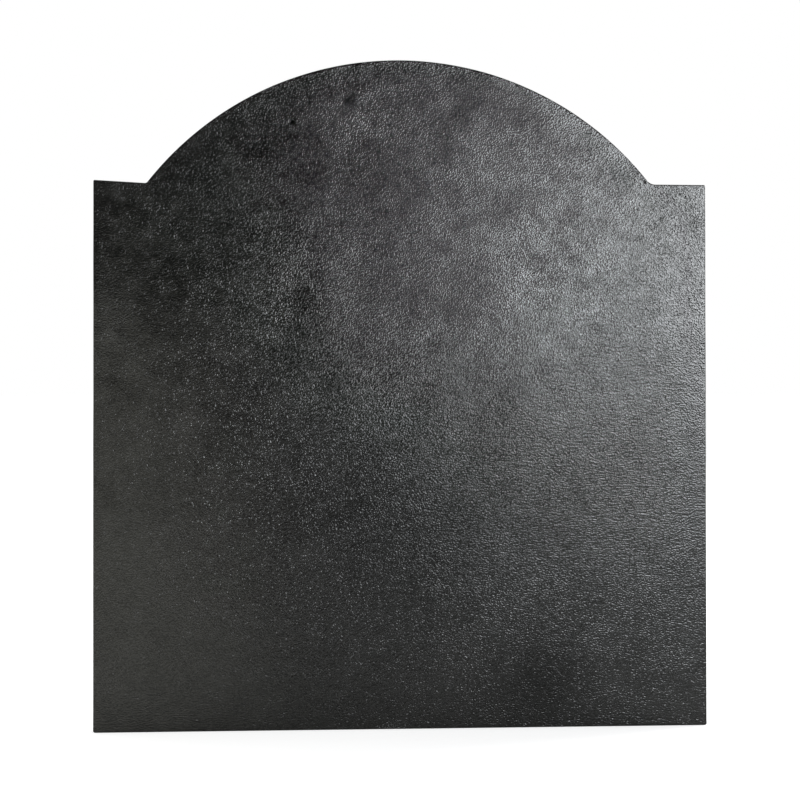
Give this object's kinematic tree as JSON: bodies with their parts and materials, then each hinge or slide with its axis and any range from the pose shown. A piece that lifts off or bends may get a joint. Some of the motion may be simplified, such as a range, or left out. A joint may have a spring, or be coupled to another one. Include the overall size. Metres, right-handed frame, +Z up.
{
  "type": "fireback",
  "caption": "Plain arched fireback plate with square shoulders, leaning back on a folding bar stand bolted behind it.",
  "frame": {"origin": "middle of the plate's bottom face, where it rests on the hearth", "axes": "+Z up, -Y the way the plate's face looks, +X to the right of someone who looks at the face"},
  "size_m": [0.61, 0.1318, 0.6614],
  "materials": {
    "cast_iron": "black sand-cast surface, satin",
    "black_bar": "heat-proof black paint on steel bar, satin",
    "dark_steel": "plain steel fasteners, darkened by oiling and heat"
  },
  "bodies": {
    "plate": {"fireback_plate": "cast_iron", "left_hinge_bracket": "cast_iron", "left_inner_bracket_washer": "dark_steel", "left_inner_bracket_bolt": "dark_steel", "left_outer_bracket_washer": "dark_steel", "left_outer_bracket_bolt": "dark_steel", "left_pivot_washer": "dark_steel", "left_pivot_bolt": "dark_steel", "left_pivot_lock_washer": "dark_steel", "left_pivot_nut": "dark_steel", "right_hinge_bracket": "cast_iron", "right_inner_bracket_washer": "dark_steel", "right_inner_bracket_bolt": "dark_steel", "right_outer_bracket_washer": "dark_steel", "right_outer_bracket_bolt": "dark_steel", "right_pivot_washer": "dark_steel", "right_pivot_bolt": "dark_steel", "right_pivot_lock_washer": "dark_steel", "right_pivot_nut": "dark_steel"},
    "stand": {"left_leg": "black_bar", "right_leg": "black_bar", "stand_stretcher": "black_bar"}
  },
  "joints": [
    {"name": "stand_fold", "type": "hinge", "parent": "plate", "child": "stand", "pos_m": [0, 0.0501, 0.23174], "axis": [1, 0, 0], "range_deg": [-20, 0]}
  ]
}
